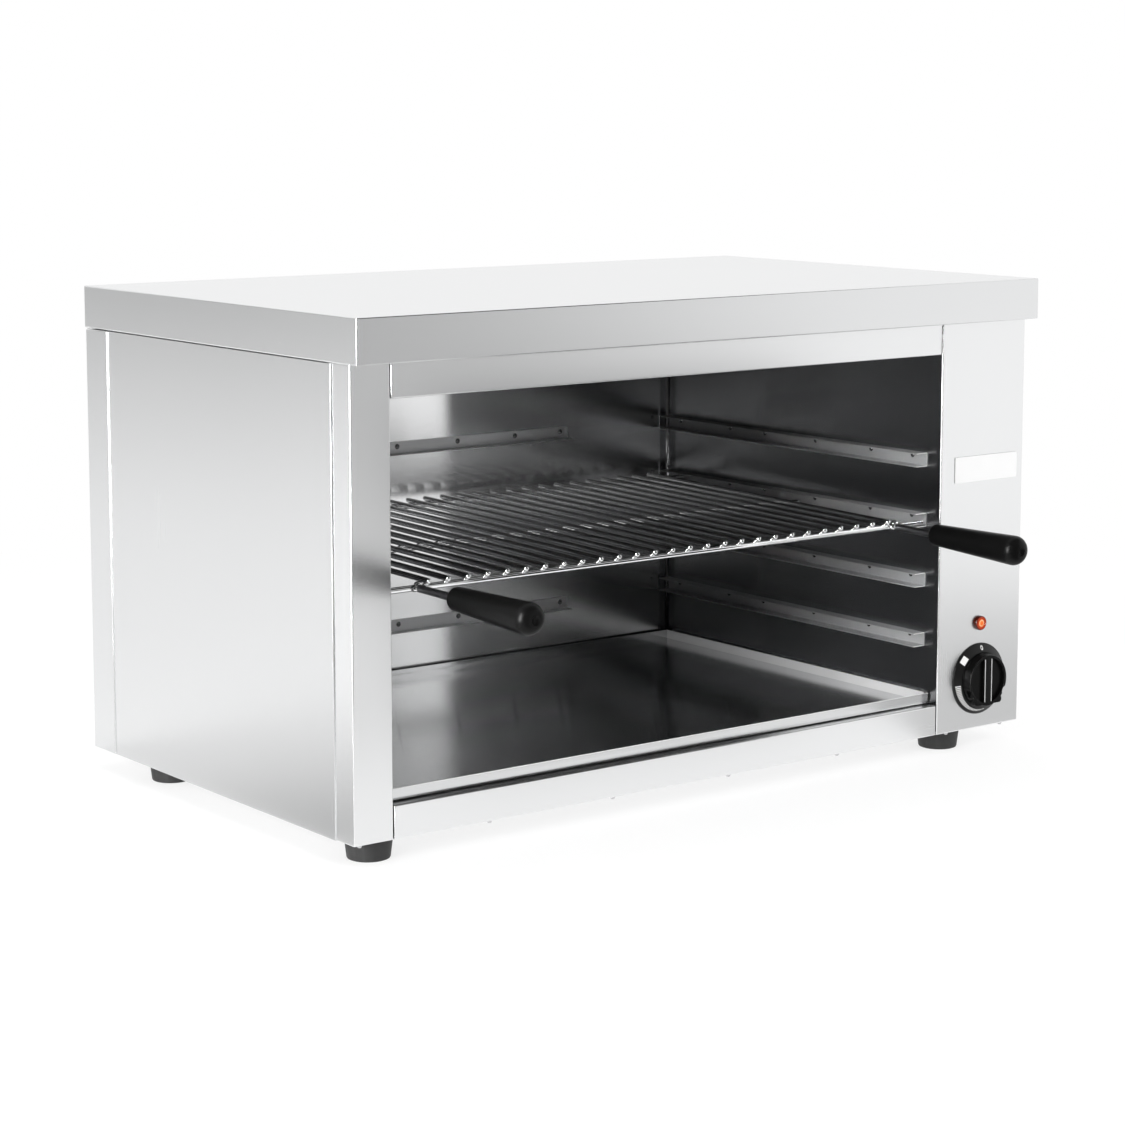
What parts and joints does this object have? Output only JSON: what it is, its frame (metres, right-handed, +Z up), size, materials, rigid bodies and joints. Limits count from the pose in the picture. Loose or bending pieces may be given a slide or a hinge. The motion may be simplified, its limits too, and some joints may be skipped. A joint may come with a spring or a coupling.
{
  "type": "cheese melter",
  "caption": "Countertop stainless electric grill with an open front, four rack levels, a sliding wire grid with two handles, a slide-out drip tray and a heat dial.",
  "frame": {"origin": "centre of the whole object's bounding box, handles included, at the level of the feet's undersides", "axes": "+X to the user's right, +Y from the open front towards the back, +Z up"},
  "size_m": [0.8048, 0.625, 0.47],
  "materials": {
    "outer_steel": "fine satin brushed stainless steel",
    "cavity_steel": "darker bright-rolled stainless steel",
    "rack_steel": "folded stainless strip",
    "rivet_steel": "plain zinc plated steel",
    "hanger_steel": "dull steel",
    "bright_wire": "bright chromed wire",
    "stem_steel": "dark steel rod",
    "grip_black": "satin black thermoset plastic",
    "tray_steel": "bright stainless sheet",
    "heater_tube": "dark oxidised alloy tube",
    "mat_wool": "needled mineral wool mat",
    "regulator_plastic": "brown moulded thermoset",
    "dial_black": "black plastic with pale printed marks",
    "knob_black": "semi-gloss black plastic",
    "lens_amber": "translucent amber plastic",
    "lamp_plastic": "black nylon",
    "label_pale": "bare pale plate",
    "terminal_plastic": "cream polyamide",
    "loom_red": "glass-braid sleeved wires",
    "earth_brass": "plain brass",
    "gland_plastic": "black polyamide",
    "foot_rubber": "black moulded rubber"
  },
  "bodies": {
    "root": {"top_lid": "outer_steel", "left_post": "outer_steel", "control_column": "outer_steel", "top_fascia": "outer_steel", "bottom_rail": "outer_steel", "base_plate": "outer_steel", "left_side_panel": "outer_steel", "right_side_panel": "outer_steel", "rear_cover": "outer_steel", "cavity_left_wall": "cavity_steel", "cavity_right_wall": "cavity_steel", "cavity_back_wall": "cavity_steel", "cavity_floor": "cavity_steel", "heat_reflector": "cavity_steel", "insulation_mat": "mat_wool", "left_channel_1": "rack_steel", "left_channel_2": "rack_steel", "left_channel_3": "rack_steel", "left_channel_4": "rack_steel", "right_channel_1": "rack_steel", "right_channel_2": "rack_steel", "right_channel_3": "rack_steel", "right_channel_4": "rack_steel", "back_bracket_upper": "rack_steel", "back_bracket_lower": "rack_steel", "channel_rivets": "rivet_steel", "heater_front_tube": "heater_tube", "heater_middle_tube": "heater_tube", "heater_rear_tube": "heater_tube", "heater_nuts": "rivet_steel", "heater_hangers": "hanger_steel", "energy_regulator": "regulator_plastic", "regulator_screws": "rivet_steel", "dial_bezel": "dial_black", "pilot_lamp_lens": "lens_amber", "pilot_lamp_body": "lamp_plastic", "label_plate": "label_pale", "terminal_block": "terminal_plastic", "wiring_loom": "loom_red", "earth_stud": "earth_brass", "cable_gland": "gland_plastic", "gland_locknut": "gland_plastic", "foot_front_left": "foot_rubber", "foot_front_right": "foot_rubber", "foot_rear_left": "foot_rubber", "foot_rear_right": "foot_rubber", "foot_screws": "rivet_steel", "foot_nuts": "rivet_steel", "base_screws": "rivet_steel"},
    "grid": {"grid_front_bar": "bright_wire", "grid_cross_bars": "bright_wire", "grid_rods": "bright_wire", "handle_stem_left": "stem_steel", "handle_stem_right": "stem_steel", "handle_grip_left": "grip_black", "handle_grip_right": "grip_black"},
    "tray": {"drip_tray": "tray_steel"},
    "knob": {"dial_knob": "knob_black", "regulator_shaft": "hanger_steel"}
  },
  "joints": [
    {"name": "grid_slide", "type": "slide", "parent": "root", "child": "grid", "axis": [0, -1, 0], "range_m": [0, 0.33]},
    {"name": "tray_slide", "type": "slide", "parent": "root", "child": "tray", "axis": [0, -1, 0], "range_m": [0, 0.38]},
    {"name": "dial_turn", "type": "hinge", "parent": "root", "child": "knob", "pos_m": [0.343, -0.17348, 0.0705], "axis": [0, 1, 0], "range_deg": [0, 315]}
  ]
}
